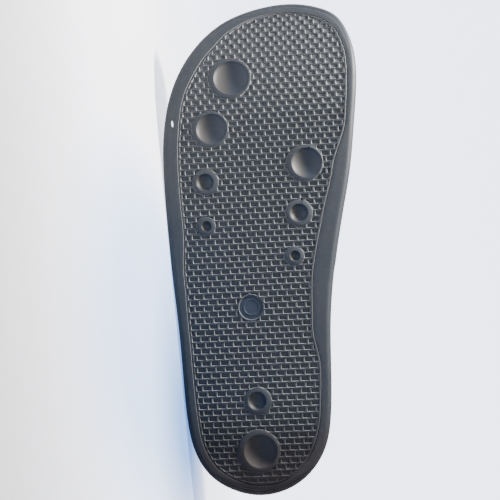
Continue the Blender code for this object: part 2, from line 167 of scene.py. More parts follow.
# Mesh fineness. The triangulation works in millimetres, and so does its tolerance.
EDGE_POINTS = 640
FOOTBED_POINTS = 320
STRAP_POINTS_AROUND = 240
STRAP_POINTS_ALONG = 64
CIRCLE_POINTS = 56
PIT_POINTS = 16
STUDIO_POINTS = 96
SHARP_ANGLE = 48
MILLI = 1000.0
CUT_TOLERANCE = 1e-5
MERGE_DISTANCE = 2e-6
ON_CIRCLE = 1.001
EDGE_SAMPLES = 2401
FACE_SAMPLES = 1200
SECTION_SAMPLES = 401
BOWL_SHARES = (0.12, 0.25, 0.38, 0.5, 0.61, 0.71, 0.8, 0.87, 0.925, 0.965, 0.99)
PIT_SHARES = (0.5, 1.0, 1.4)
BAND_SHARES = (0.25, 0.5, 0.75)
RECESS_SHARES = (1.0, 0.92, 0.8, 0.65, 0.5, 0.35, 0.2)
FOOTBED_UNDER_SHARES = (0.2, 0.4, 0.6, 0.75, 0.88, 1.0)
FOOTBED_TOP_SHARES = np.linspace(0.86, 0.06, 21)
EDGE_TURNS = np.radians(np.linspace(0, 84, 8))
RIM_TURNS = np.radians(np.linspace(15, 90, 6))

# The sole's edge, from the heel's back along the lateral side to the toe and back along
# the medial side: along and across as shares of LENGTH and WIDTH, band of BAND_WIDTH, rim
# of RIM_HEIGHT, and the share of the way out at which the footbed starts to rise
EDGE_ROWS = (
    (0.000, 0.000, 0.84, 0.90, 0.45),
    (0.015, 0.135, 0.86, 0.93, 0.46),
    (0.049, 0.245, 0.83, 0.97, 0.48),
    (0.096, 0.307, 0.83, 0.95, 0.50),
    (0.158, 0.335, 0.85, 0.93, 0.52),
    (0.236, 0.347, 0.83, 0.90, 0.55),
    (0.331, 0.360, 0.83, 0.87, 0.58),
    (0.427, 0.380, 0.95, 0.83, 0.60),
    (0.524, 0.396, 1.24, 0.80, 0.64),
    (0.622, 0.407, 1.21, 0.78, 0.68),
    (0.721, 0.401, 1.21, 0.77, 0.70),
    (0.804, 0.360, 1.13, 0.78, 0.70),
    (0.873, 0.285, 1.22, 0.76, 0.70),
    (0.927, 0.186, 1.25, 0.70, 0.70),
    (0.964, 0.077, 1.09, 0.64, 0.70),
    (0.992, -0.091, 0.93, 0.58, 0.70),
    (1.000, -0.282, 0.99, 0.56, 0.70),
    (0.988, -0.408, 0.97, 0.59, 0.70),
    (0.964, -0.505, 0.97, 0.63, 0.70),
    (0.922, -0.561, 0.77, 0.69, 0.70),
    (0.876, -0.587, 0.70, 0.74, 0.70),
    (0.811, -0.589, 0.69, 0.79, 0.70),
    (0.729, -0.566, 0.64, 0.80, 0.66),
    (0.629, -0.530, 1.25, 0.84, 0.52),
    (0.527, -0.473, 1.39, 0.93, 0.34),
    (0.427, -0.423, 1.49, 1.02, 0.22),
    (0.327, -0.393, 1.27, 1.04, 0.26),
    (0.236, -0.383, 0.72, 1.03, 0.34),
    (0.156, -0.371, 0.75, 1.01, 0.40),
    (0.089, -0.335, 0.83, 1.00, 0.44),
    (0.042, -0.256, 0.75, 1.00, 0.45),
    (0.011, -0.144, 0.71, 0.94, 0.45),
)
SPINE_HEEL = (0.142, -0.015)
SPINE_TOE = (0.825, -0.155)

# Middle line of the footbed: along, and its height as a share of BED_HEIGHT
BED_ROWS = (
    (0.00, 0.88),
    (0.06, 0.99),
    (0.15, 0.98),
    (0.35, 0.96),
    (0.50, 0.89),
    (0.62, 0.81),
    (0.72, 0.77),
    (0.80, 0.77),
    (0.88, 0.77),
    (0.95, 0.71),
    (1.00, 0.64),
)

# Side wall: rise as a share of its height, inset as shares of the step and the lean
WALL_ROWS = (
    (0.00, 0.0, 0.00),
    (0.15, 0.0, 0.00),
    (0.29, 0.0, 0.00),
    (0.31, 0.12, 0.04),
    (0.33, 0.60, 0.10),
    (0.35, 1.0, 0.20),
    (0.37, 1.0, 0.22),
    (0.55, 1.0, 0.45),
    (0.80, 1.0, 0.75),
    (1.00, 1.0, 1.00),
)

# Bowls: boss is the outer diameter of the smooth ring round one, as a share of its own,
# and shift is how far that ring lies to the lateral side, as a share of the bowl's radius
BOWL_ROWS = (
    (0.831, 0.041, 1.13, 1.00, 1.21, 0.10),
    (0.727, 0.151, 0.97, 0.90, 1.19, 0.11),
    (0.647, -0.317, 0.94, 0.90, 1.22, 0.13),
    (0.619, 0.196, 0.54, 0.85, 1.50, -0.10),
    (0.547, -0.265, 0.56, 0.85, 1.49, -0.06),
    (0.530, 0.197, 0.31, 0.65, 1.86, 0.08),
    (0.462, -0.235, 0.31, 0.65, 1.86, 0.04),
    (0.183, -0.015, 0.55, 0.85, 1.49, -0.10),
    (0.087, -0.021, 1.00, 1.00, 1.28, 0.10),
)

# Small moulding pits beside two bosses: along, across
PITS = ((0.676, -0.330), (0.573, -0.282))

# The strap from its rear to its front edge: place, where its lateral end, medial end and
# crown are along the sole, and its height. The arch goes from its widest lateral point
# over the crown to its widest medial one, as shares of half its width and of its rise.
STRAP_ROWS = (
    (0.00, 0.385, 0.425, 0.400, 1.00),
    (0.33, 0.466, 0.512, 0.505, 0.94),
    (0.67, 0.546, 0.600, 0.612, 0.84),
    (1.00, 0.625, 0.685, 0.712, 0.73),
)
ARCH_ROWS = (
    (1.00, 0.00),
    (0.89, 0.41),
    (0.60, 0.77),
    (0.24, 0.955),
    (-0.12, 1.00),
    (-0.48, 0.925),
    (-0.80, 0.66),
    (-0.96, 0.34),
    (-1.00, 0.00),
)

# Strap's finish: seam line, padding and stitches
SEAM_INSET = 0.0045
SEAM_WIDTH = 0.0011
SEAM_DEPTH = 0.0004
PAD_RISE = 0.0005
PAD_WIDTH = 0.009
EDGE_ROLL = 0.0012
STITCH_PITCH = 0.0034
STITCH_LENGTH = 0.0025
STITCH_THICKNESS = 0.00042
STITCH_RAISE = 0.15
STITCH_FLATNESS = 0.8
TAB_SHARE = 0.075
FLOOR_CLEARANCE = 0.00002

# Soft creases of the strap: place around it (from its lateral to its
# medial end), place from its rear to its front edge, length, width, depth and slant
CREASES = (
    (0.160, 0.30, 0.26, 0.0120, 0.00045, 0.05),
    (0.195, 0.62, 0.22, 0.0100, 0.00035, -0.04),
    (0.235, 0.45, 0.20, 0.0110, 0.00025, 0.06),
    (0.840, 0.36, 0.24, 0.0120, 0.00045, -0.05),
    (0.805, 0.66, 0.20, 0.0100, 0.00035, 0.04),
    (0.765, 0.50, 0.18, 0.0110, 0.00025, -0.06),
)

# Border line of the footbed, as shares of the way out and of its depth, and where the
# foot has polished the footbed: along, across, length and width of each spot
BORDER_DEPTH = 0.0005
BORDER_ROWS = (
    (0.970, 0.0),
    (0.935, 0.0),
    (0.925, 0.7),
    (0.915, 1.0),
    (0.905, 0.7),
    (0.895, 0.0),
)
FOOT_MARKS = (
    (0.15, -0.015, 0.10, 0.22),
    (0.68, -0.27, 0.09, 0.20),
    (0.63, 0.16, 0.09, 0.18),
    (0.86, -0.36, 0.06, 0.12),
)

# Scuffs on the smooth band: a point of the upright shoe, its reach and its stretch
SCUFFS = (
    ((0.0384, 0.2041, 0.0), 0.0010, (2.8, 1.0, 0.8)),
    ((0.0230, 0.2452, 0.0049), 0.0009, (1.6, 1.0, 0.8)),
)

# Dirt of the sole: where it fades out from the heel and up the side wall, and the share
# that is gone there. Across each bowl, between two shares of the radius, dark blue on the
# medial side, a painted shade and reflection, turns to lighter brown on the lateral side, dust
# and painted light.
HEEL_DIRT = (0.012, 0.058)
WALL_DIRT = (0.002, 0.020)
WALL_DIRT_GONE = 0.75
BOWL_DUST_AND_SHADE = (-0.30, 0.60)
TREAD_LAYERS = ("sunk", "dish", "dust_and_painted_shade")

# The studio: its floor, the wall that the floor bends up into, and the floor's tint and
# glow, with greys by the distance in front of the sandal's middle or behind it
STUDIO_RADIUS = 2.0
STUDIO_SHARES = (0.02, 0.15, 0.4, 0.7)
STUDIO_BEND = 0.5
STUDIO_HEIGHT = 1.8
FLOOR_TINT = (1.0, 1.0, 1.03)
FLOOR_GREYS = ((-0.64, 0.80), (-0.32, 0.30))
FLOOR_GLOW = 4.25
GLOW_COLOUR = (0.82, 0.85, 1.0)
GLOW_GREYS = ((-0.33, 0.0), (-0.21, 0.46), (0.05, 0.46), (0.35, 0.90))

# Painted cool shadow on the floor beside the sandal: spot, reach, stretch, softness, colour, glow
SHADES = (
    (
        (0.045, -0.11, 0.0),
        0.15,
        (0.62, 1.15, 1.0),
        ((0.0, 0.0), (0.18, 0.45), (0.45, 1.0)),
        (0.17, 0.21, 0.26),
        (0.36, 0.54, 0.98),
    ),
    (
        (0.095, -0.045, 0.0),
        0.11,
        (0.80, 1.0, 1.0),
        ((0.0, 0.0), (0.40, 0.55), (0.80, 1.0)),
        (0.05, 0.08, 0.13),
        (0.13, 0.28, 0.66),
    ),
)

# Square soft lights: place, target, size, watts and colour, and the sky round them
LIGHTS = (
    ("key", (-0.20, -0.14, 0.39), (-0.02, -0.04, 0.05), 0.07, 17.0, (1.0, 0.975, 0.93)),
    ("fill", (-0.02, -0.32, 0.50), (0.0, -0.04, 0.07), 0.4, 4.0, (0.84, 0.92, 1.0)),
    ("back", (-0.70, 0.45, 1.10), (0.05, 0.0, 0.0), 1.3, 14.0, (1.0, 0.98, 0.95)),
    ("top", (0.1, 0.5, 1.6), (0.0, 0.45, 0.2), 1.4, 12.0, (1.0, 1.0, 1.0)),
)
SKY_COLOUR = (0.66, 0.81, 1.0)
SKY_STRENGTH = 0.03


def cubic_slopes(knots, values, closed):
    """Slopes at the knots of the cubic spline through the values."""
    spans = np.diff(knots)
    rises = np.diff(values) / spans
    count = len(knots)
    system = np.zeros((count, count))
    target = np.zeros(count)
    for i in range(1, count - 1):
        before, after = spans[i - 1], spans[i]
        system[i, i - 1 : i + 2] = 1 / before, 2 / before + 2 / after, 1 / after
        target[i] = 3 * (rises[i - 1] / before + rises[i] / after)
    if closed:
        first, last = spans[0], spans[-1]
        system[0, -2], system[0, 0], system[0, 1] = 1 / last, 2 / last + 2 / first, 1 / first
        target[0] = 3 * (rises[-1] / last + rises[0] / first)
        system[-1, 0], system[-1, -1] = 1.0, -1.0
    else:
        system[0, 0], system[0, 1], target[0] = 2.0, 1.0, 3 * rises[0]
        system[-1, -1], system[-1, -2], target[-1] = 2.0, 1.0, 3 * rises[-1]
    return np.linalg.solve(system, target)


def cubic(knots, values, at, closed=False):
    """The cubic spline through the values at the knots, read at other places."""
    slopes = cubic_slopes(knots, values, closed)
    i = np.clip(np.searchsorted(knots, at, side="right") - 1, 0, len(knots) - 2)
    span = knots[i + 1] - knots[i]
    t = (at - knots[i]) / span
    start = (1 + 2 * t) * (1 - t) ** 2 * values[i] + t * (1 - t) ** 2 * span * slopes[i]
    end = t * t * (3 - 2 * t) * values[i + 1] - t * t * (1 - t) * span * slopes[i + 1]
    return start + end


def running_length(points):
    """Distance along a line of points, from its first one."""
    steps = np.linalg.norm(np.diff(points, axis=0), axis=1)
    return np.concatenate([[0.0], np.cumsum(steps)])


def unit(vectors):
    """Vectors of length 1 along the given ones."""
    return vectors / np.linalg.norm(vectors, axis=-1, keepdims=True)


def smoothstep(low, high, value):
    """0 below low, 1 above high, eased between them."""
    t = np.clip((value - low) / (high - low), 0.0, 1.0)
    return t * t * (3 - 2 * t)


def eased(values, row):
    """Values of a table's rows, blended smoothly from row to row."""
    whole = np.minimum(row.astype(int), len(values) - 2)
    share = smoothstep(0.0, 1.0, row - whole)
    return values[whole] + share * (values[whole + 1] - values[whole])


def ground(y):
    """Height of the ground face: flat, with a toe spring and a bevelled heel."""
    share = y / LENGTH
    toe = np.maximum(0.0, share - TOE_SPRING_START) / (1 - TOE_SPRING_START)
    heel = np.maximum(0.0, HEEL_BEVEL_END - share) / HEEL_BEVEL_END
    return TOE_SPRING * toe**2 + HEEL_BEVEL * heel**2


def bed_middle(y):
    """Height of the footbed's middle line at a distance y from the heel."""
    along, height = np.array(BED_ROWS).T
    share = np.clip(y / LENGTH, 0.0, 1.0)
    return ground(y) + BED_HEIGHT * cubic(along, height, share)


class Edge:
    """The sole's outer edge, read at evenly spaced points around it."""

    def __init__(self, count):
        along, across, band, rim, cup = np.array(EDGE_ROWS + EDGE_ROWS[:1]).T
        rows = np.column_stack([across * WIDTH, along * LENGTH])
        knots = running_length(rows)
        fine = np.linspace(0.0, knots[-1], EDGE_SAMPLES)
        line = np.column_stack([cubic(knots, rows[:, k], fine, True) for k in (0, 1)])
        travelled = running_length(line)
        even = np.linspace(0.0, travelled[-1], count + 1)[:-1]
        at = np.interp(even, travelled, fine)
        self.points = np.column_stack([cubic(knots, rows[:, k], at, True) for k in (0, 1)])
        row = np.interp(at, knots, np.arange(len(knots)))
        self.band = eased(band, row) * BAND_WIDTH
        self.rim = ground(self.points[:, 1]) + eased(rim, row) * RIM_HEIGHT
        self.cup = eased(cup, row)
        ahead = unit(np.roll(self.points, -1, axis=0) - np.roll(self.points, 1, axis=0))
        self.outward = np.column_stack([ahead[:, 1], -ahead[:, 0]])
        heel = np.array([SPINE_HEEL[1] * WIDTH, SPINE_HEEL[0] * LENGTH])
        toe = np.array([SPINE_TOE[1] * WIDTH, SPINE_TOE[0] * LENGTH])
        share = (self.points - heel) @ (toe - heel) / ((toe - heel) @ (toe - heel))
        self.spine = heel + np.clip(share, 0.0, 1.0)[:, None] * (toe - heel)
        self.toe = int(np.argmax(self.points[:, 1]))
        self.lateral = np.arange(count) <= self.toe

    def inset(self, distance):
        """The edge moved inward by a distance, one for all or one for each point."""
        return self.points - self.outward * np.reshape(distance, (-1, 1))

    def shrunk(self, line, share):
        """A line round the sole, drawn in toward the spine to a share of its way."""
        return self.spine + share * (line - self.spine)

    def side(self, y, lateral):
        """Where the edge's lateral or medial side is at y, and the rim's height there."""
        last = len(self.points) - 1
        order = np.arange(0, self.toe + 1) if lateral else np.arange(last, self.toe - 1, -1)
        ys = self.points[order, 1]
        return np.interp(y, ys, self.points[order, 0]), np.interp(y, ys, self.rim[order])


def bed(edge, share, line):
    """Height of the footbed's top over a ring that lies at a share of the way out."""
    rise = np.clip((share - edge.cup) / (1.0 - edge.cup), 0.0, 1.0) ** 2
    lip = edge.rim - RIM_DROP - bed_middle(edge.points[:, 1])
    return bed_middle(line[:, 1]) + lip * rise


def ring(line, height):
    """A closed ring of points: a line in plan and its heights."""
    return np.column_stack([line, np.broadcast_to(height, len(line))])


def bed_ring(edge, line, share, lowered=0.0):
    """A ring of the bed at a share of the way out to a line, lowered by a distance."""
    inner = edge.shrunk(line, share)
    return ring(inner, bed(edge, share, inner) - lowered)


def ground_ring(inset, depth=0.0):
    """A ring of the ground face at an inset from the edge, sunk by a depth."""
    line = EDGE.inset(inset)
    return ring(line, ground(line[:, 1]) + depth)


def shoe_to_world():
    """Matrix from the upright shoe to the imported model's place, by its two flat mounts."""
    mounts = {mount["name"]: mount for mount in frame["record"]["mounts"]}
    heel = Vector(mounts["heel_ground_face"]["pos_m"])
    forefoot = Vector(mounts["forefoot_ground_face"]["pos_m"])
    up = -Vector(mounts["heel_ground_face"]["axis"]).normalized()
    along = (FOREFOOT_MOUNT[0] - HEEL_MOUNT[0]) * LENGTH
    across = (FOREFOOT_MOUNT[1] - HEEL_MOUNT[1]) * WIDTH
    reach = math.hypot(along, across)
    line = forefoot - heel
    line = (line - up * line.dot(up)).normalized()
    square = up.cross(line)
    fore = (line * along + square * across) / reach
    side = (line * across - square * along) / reach
    turn = Matrix((side, fore, up)).transposed()
    start = heel - turn @ Vector((HEEL_MOUNT[1] * WIDTH, HEEL_MOUNT[0] * LENGTH, 0.0))
    return Matrix.Translation(start) @ turn.to_4x4()


STANCE = shoe_to_world()
EDGE = Edge(EDGE_POINTS)


def added(name, data):
    """A new object of the scene."""
    made = bpy.data.objects.new(name, data)
    bpy.context.scene.collection.objects.link(made)
    return made


def mesh_object(name, shape, materials):
    """A smooth object made of a bmesh."""
    mesh = bpy.data.meshes.new(name)
    shape.to_mesh(mesh)
    shape.free()
    for paint in materials:
        mesh.materials.append(paint)
    mesh.shade_smooth()
    return added(name, mesh)


def finished(name, shape, materials):
    """A laid-down object made of an upright bmesh, riding on the sandal."""
    shape.transform(STANCE)
    made = mesh_object(name, shape, materials)
    made.data.set_sharp_from_angle(angle=math.radians(SHARP_ANGLE))
    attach(made, "root")
    return made


def face_outwards(shape):
    """Cuts the many-sided caps into triangles and turns all faces outwards."""
    caps = [face for face in shape.faces if len(face.verts) > 4]
    bmesh.ops.triangulate(shape, faces=caps)
    bmesh.ops.recalc_face_normals(shape, faces=shape.faces[:])


def add_rings(shape, rings):
    """Joins rings of points by faces."""
    loops = [[shape.verts.new(point) for point in points] for points in rings]
    for one, other in zip(loops, loops[1:]):
        for i in range(len(one)):
            j = (i + 1) % len(one)
            shape.faces.new((one[i], one[j], other[j], other[i]))
    return loops


def surface_length():
    """Distance along the ground face against y, which the rows of bricks follow."""
    ys = np.linspace(-0.01, LENGTH + 0.01, FACE_SAMPLES)
    return ys, running_length(np.column_stack([ys, ground(ys)])) + ys[0]


PLAN_Y, FACE_Y = surface_length()


def unrolled(y):
    """Distance along the ground face at y."""
    return np.interp(y, PLAN_Y, FACE_Y)


def circle(x, y, radius, count=CIRCLE_POINTS):
    """Corners of a circle in the unrolled ground face."""
    turns = np.linspace(0.0, 2 * math.pi, count, endpoint=False)
    return [(x + radius * math.cos(turn), y + radius * math.sin(turn)) for turn in turns]


class Bowl:
    """One round bowl: its place, radius, depth and the radius of its boss."""

    def __init__(self, row):
        along, across, bowl, depth, boss, shift = row
        self.x = across * WIDTH
        self.y = unrolled(along * LENGTH)
        self.radius = bowl * BOWL_DIAMETER / 2
        self.depth = depth * BOWL_DEPTH
        self.boss = boss * self.radius
        self.boss_x = self.x + shift * self.radius

    def circles(self):
        """Middles and radii of the circles at which the bowl's mesh has corners."""
        found = [(self.x, self.radius * share) for share in BOWL_SHARES]
        found.append((self.x, self.radius + 0.35 * LIP_WIDTH))
        return found + [(self.boss_x, self.boss - BOSS_LIP), (self.boss_x, self.boss)]

    def height(self, x, y):
        """How deep the ground face is sunk at a place by the bowl, or None off its boss."""
        from_boss = self.boss - math.hypot(x - self.boss_x, y - self.y)
        if from_boss < BOSS_LIP * 0.02:
            return None
        top = -BOSS_RAISE * min(1.0, from_boss / BOSS_LIP)
        share = math.hypot(x - self.x, y - self.y) / self.radius
        if share >= 1.0:
            return top
        dish = (1.0 - share**BOWL_POWER) ** BOWL_FULLNESS
        return top + (self.depth - top) * dish


BOWLS = [Bowl(row) for row in BOWL_ROWS]
DISC_X = DISC_ACROSS * WIDTH
DISC_Y = DISC_ALONG * LENGTH
DISC_REACH = DISC_DIAMETER / 2 + LIP_WIDTH / 6
PIT_SPOTS = [(across * WIDTH, unrolled(along * LENGTH)) for along, across in PITS]


def cell_rectangles(border):
    """The open cells between the ribs that lie near the tread, as corners."""
    cells = []
    half = RIB_WIDTH / 2
    reach = BRICK_PITCH + ROW_PITCH
    for row in range(-1, int(LENGTH / ROW_PITCH) + 4):
        low = ROW_START + row * ROW_PITCH + half
        high = low + ROW_PITCH - RIB_WIDTH
        level = border[np.abs(border[:, 1] - low) < reach]
        shift = BRICK_START + (row % 2) * BRICK_PITCH / 2
        for brick in range(-int(WIDTH / BRICK_PITCH), int(WIDTH / BRICK_PITCH)):
            left = shift + brick * BRICK_PITCH + half
            right = left + BRICK_PITCH - RIB_WIDTH
            if len(level) and level[:, 0].min() < right and left < level[:, 0].max():
                cells.append([(left, low), (right, low), (right, high), (left, high)])
    return cells


def triangulated(faces):
    """Constrained triangles of overlapping outlines, with the outlines that hold each."""
    corners, loops = [], []
    for face in faces:
        first = len(corners)
        corners += [Vector((x * MILLI, y * MILLI)) for x, y in face]
        loops.append(list(range(first, first + len(face))))
    out, _, triangles, _, _, owners = delaunay_2d_cdt(corners, [], loops, 1, CUT_TOLERANCE, True)
    places = np.array([corner[:] for corner in out]) / MILLI
    return places, triangles, owners


def sunk_triangles(border):
    """Triangles of the cells, cut off at the tread's border, the bosses and the disc."""
    keep_out = [circle(bowl.boss_x, bowl.y, bowl.boss) for bowl in BOWLS]
    keep_out.append(circle(DISC_X, DISC_Y, DISC_DIAMETER / 2 + LIP_WIDTH / 3))
    faces = [list(map(tuple, border))] + keep_out + cell_rectangles(border)
    first_cell = 1 + len(keep_out)
    places, triangles, owners = triangulated(faces)
    found = {}
    for triangle, owner in zip(triangles, owners):
        held = [number for number in owner if number >= first_cell]
        if held and 0 in owner and not any(0 < number < first_cell for number in owner):
            found.setdefault(held[0], []).append([tuple(places[i]) for i in triangle])
    return [group for group in found.values() if group_width(group) > NARROWEST_CELL]


def group_width(group):
    """Rough width of a group of triangles: its area over half its border."""
    area, border = 0.0, {}
    for triangle in group:
        a, b, c = (Vector(corner) for corner in triangle)
        area += abs((b - a).cross(c - a)) / 2
        for one, other in ((a, b), (b, c), (c, a)):
            ends = [(round(end.x, 8), round(end.y, 8)) for end in (one, other)]
            key = tuple(sorted(ends))
            border[key] = None if key in border else (one - other).length
    return area / (sum(side for side in border.values() if side) / 2)


def tread_line(margin):
    """The tread's outline in the unrolled ground face, moved in by a margin."""
    line = EDGE.inset(EDGE.band + VEE_WIDTH / 2 + margin)
    line[:, 1] = unrolled(line[:, 1])
    return line


def tread_shape():
    """The tread panel unrolled flat, its cells sunk, as a bmesh with Z as depth."""
    groups = sunk_triangles(tread_line(TREAD_MARGIN))
    faces = [list(map(tuple, tread_line(0.0)))]
    for bowl in BOWLS:
        faces += [circle(x, bowl.y, radius) for x, radius in bowl.circles()]
    disc = [RING_MARK_RADIUS + step * RING_MARK_WIDTH for step in RING_STEPS]
    disc += [DISC_DIAMETER / 2 + step * LIP_WIDTH for step in LIP_STEPS]
    faces += [circle(DISC_X, DISC_Y, radius) for radius in disc]
    for x, y in PIT_SPOTS:
        faces += [circle(x, y, PIT_RADIUS * share, PIT_POINTS) for share in PIT_SHARES]
    first_sunk = len(faces)
    for group in groups:
        faces += group
    places, triangles, owners = triangulated(faces)

    shape = bmesh.new()
    corners = [shape.verts.new((x, y, 0.0)) for x, y in places]
    sunk = []
    for triangle, owner in zip(triangles, owners):
        if 0 not in owner:
            continue
        face = shape.faces.new([corners[i] for i in triangle])
        if any(number >= first_sunk for number in owner):
            sunk.append(face)
    loose = [corner for corner in corners if not corner.link_faces]
    bmesh.ops.delete(shape, geom=loose, context="VERTS")
    sink_cells(shape, sunk)
    sink_details(shape)
    return shape


def disc_wall(r):
    """0 outside the disc's wall, 1 inside it."""
    return 1.0 - smoothstep(-LIP_WIDTH, 0.0, r - DISC_DIAMETER / 2)


def sink_cells(shape, sunk):
    """Sinks the cells between the ribs in steps, with rounded lips and sloping walls."""
    for inward, share in CELL_STEPS:
        settings = {"use_boundary": True, "use_even_offset": True}
        bmesh.ops.inset_region(shape, faces=sunk, thickness=inward, depth=0.0, **settings)
        corners = {corner for face in sunk for corner in face.verts}
        for corner in corners:
            before = [edge.other_vert(corner) for edge in corner.link_edges]
            before = [other for other in before if other not in corners]
            if before:
                moved = corner.co - before[0].co
                if moved.length > LONGEST_INSET * inward:
                    moved *= LONGEST_INSET * inward / moved.length
                    corner.co = before[0].co + moved
        for corner in corners:
            corner.co.z += share * CELL_DEPTH * worn(corner.co.y)


def worn(y):
    """Share of the cells' depth that is left: the heel's end and the toe are worn down."""
    heel = HEEL_DEPTH_LEFT + (1 - HEEL_DEPTH_LEFT) * smoothstep(*HEEL_WORN, y)
    return heel - TOE_DEPTH_LOST * smoothstep(*TOE_WORN, y)


def sink_details(shape):
    """Sinks the bowls, the disc and the pits, and writes the layers for the rubber."""
    sunk, dish, dust_and_painted_shade = (shape.verts.layers.float.new(name) for name in TREAD_LAYERS)
    for corner in shape.verts:
        x, y, z = corner.co
        # The share of a cell's depth also sets its colour: walls get a painted highlight, floors
        # their own colour.
        corner[sunk] = min(1.0, z / (CELL_DEPTH * worn(y)))
        for bowl in BOWLS:
            depth = bowl.height(x, y)
            if depth is not None:
                corner.co.z = depth
            # Each bowl's colour turns across it from painted shade and reflection on the medial
            # side to dust and painted light on the lateral side.
            if math.hypot(x - bowl.x, y - bowl.y) < bowl.radius * ON_CIRCLE:
                corner[dish] = 1.0
                corner[dust_and_painted_shade] = smoothstep(*BOWL_DUST_AND_SHADE, (x - bowl.x) / bowl.radius)
        r = math.hypot(x - DISC_X, y - DISC_Y)
        if r < DISC_REACH:
            corner.co.z = disc_height(r)
            # The disc's wall takes the cells' lighter wall colour, a painted highlight; its floor
            # takes the bowls' dark blue, a painted shade.
            corner[sunk] = disc_wall(r)
            corner[dish] = 1.0 if r < DISC_DIAMETER / 2 - LIP_WIDTH / 2 else 0.0
        for pit_x, pit_y in PIT_SPOTS:
            r = math.hypot(x - pit_x, y - pit_y)
            if r < PIT_RADIUS * ON_CIRCLE:
                corner.co.z += PIT_DEPTH * (1 - (r / (PIT_RADIUS * PIT_SPREAD)) ** 2)


def disc_height(r):
    """Depth of the plain disc, with a raised ring in it."""
    off = abs(r - RING_MARK_RADIUS)
    mark = 1.0 - smoothstep(RING_MARK_WIDTH / 2, RING_MARK_WIDTH, off)
    return DISC_DEPTH * disc_wall(r) - RING_MARK_HEIGHT * mark


def outsole_rings():
    """Rings of the moulded sole from the tread's border round to the bed's recess."""
    rings = []
    for across, depth, _ in VEE_ROWS:
        rings.append(ground_ring(EDGE.band + across * VEE_WIDTH, depth * GROOVE_DEPTH))
    flat_from = EDGE.band - GROOVE_WIDTH
    for share in BAND_SHARES:
        rings.append(ground_ring(flat_from + share * (EDGE_ROUNDING - flat_from)))

    low = ground(EDGE.points[:, 1]) + EDGE_ROUNDING
    for turn in EDGE_TURNS:
        line = EDGE.inset(EDGE_ROUNDING * (1 - math.sin(turn)))
        rings.append(ring(line, low - EDGE_ROUNDING * math.cos(turn)))
    high = EDGE.rim - RIM_ROUNDING
    for rise, step, lean in WALL_ROWS:
        line = EDGE.inset(step * WALL_STEP + lean * WALL_LEAN)
        rings.append(ring(line, low + rise * (high - low)))
    for turn in RIM_TURNS:
        inset = WALL_STEP + WALL_LEAN + RIM_ROUNDING * (1 - math.cos(turn))
        rings.append(ring(EDGE.inset(inset), high + RIM_ROUNDING * math.sin(turn)))
    rings += slot_rings()
    for before, drop in RECESS_LIP:
        rings.append(ring(EDGE.inset(RIM_WIDTH - before), EDGE.rim - drop * RIM_DROP))
    line = EDGE.inset(RIM_WIDTH)
    under = FOOTBED_THICKNESS + CLEARANCE
    rings.append(ring(line, EDGE.rim - RIM_DROP - RECESS_WALL))
    return rings + [bed_ring(EDGE, line, share, under) for share in RECESS_SHARES]


def slot_rings():
    """Rings of the rim's top, let down into a slot where an end of the strap goes in."""
    outer, inner = SLOT_OUTER_WALL, SLOT_OUTER_WALL + SLOT_WIDTH
    depth = np.zeros(len(EDGE.points))
    y = EDGE.points[:, 1]
    for column, lateral in enumerate((True, False)):
        low, high = (strap_row(place)[column] * LENGTH for place in (0.0, 1.0))
        held = (EDGE.lateral == lateral) & (y > low - CLEARANCE) & (y < high + CLEARANCE)
        depth[held] = STRAP_TAB_DEPTH + 2 * CLEARANCE
    drop = RIM_DROP * INNER_WALL_DROP
    rows = (
        (outer, 0.0, 0.0),
        (outer + SLOT_TAPER, 0.0, 1.0),
        (inner - SLOT_TAPER, drop, 1.0),
        (inner, drop, 0.0),
    )
    return [ring(EDGE.inset(inset), EDGE.rim - down - sunk * depth) for inset, down, sunk in rows]


def strap_row(place):
    """The strap's table read at a place: lateral end, medial end, crown and height."""
    places, *columns = np.array(STRAP_ROWS).T
    return [cubic(places, values, place) for values in columns]


def strap_section(place, around):
    """Middle line of the strap's wall at one place between its rear and front edges."""
    *along, height = strap_row(place)
    lateral_y, medial_y, crown_y = (share * LENGTH for share in along)
    lateral_x, lateral_rim = EDGE.side(lateral_y, True)
    medial_x, medial_rim = EDGE.side(medial_y, False)
    wide_lateral = lateral_x + STRAP_BULGE_LATERAL - STRAP_WALL / 2
    wide_medial = medial_x - STRAP_BULGE_MEDIAL + STRAP_WALL / 2
    middle = (wide_lateral + wide_medial) / 2
    half = (wide_lateral - wide_medial) / 2
    crown = bed_middle(crown_y) + height * INSTEP_HEIGHT
    widest = RIM_HEIGHT + STRAP_WIDEST_RISE
    lateral_foot = lateral_x - STRAP_INSET
    medial_foot = medial_x + STRAP_INSET
    line = [(lateral_foot, lateral_rim - STRAP_TAB_DEPTH), (lateral_foot, lateral_rim)]
    line += [(middle + a * half, widest + r * (crown - widest)) for a, r in ARCH_ROWS]
    line += [(medial_foot, medial_rim), (medial_foot, medial_rim - STRAP_TAB_DEPTH)]
    line = np.array(line)
    knots = running_length(line)
    fine = np.linspace(0.0, knots[-1], SECTION_SAMPLES)
    curve = np.column_stack([cubic(knots, line[:, k], fine) for k in (0, 1)])
    travelled = running_length(curve)
    share = travelled / travelled[-1]
    xs, zs = (np.interp(around, share, curve[:, k]) for k in (0, 1))
    push = crown_y - (lateral_y + medial_y) / 2
    bow = np.clip(np.sin(math.pi * around), 0.0, 1.0) ** STRAP_BOW_POWER
    ys = lateral_y + (medial_y - lateral_y) * around + push * bow
    return np.column_stack([xs, ys, zs])


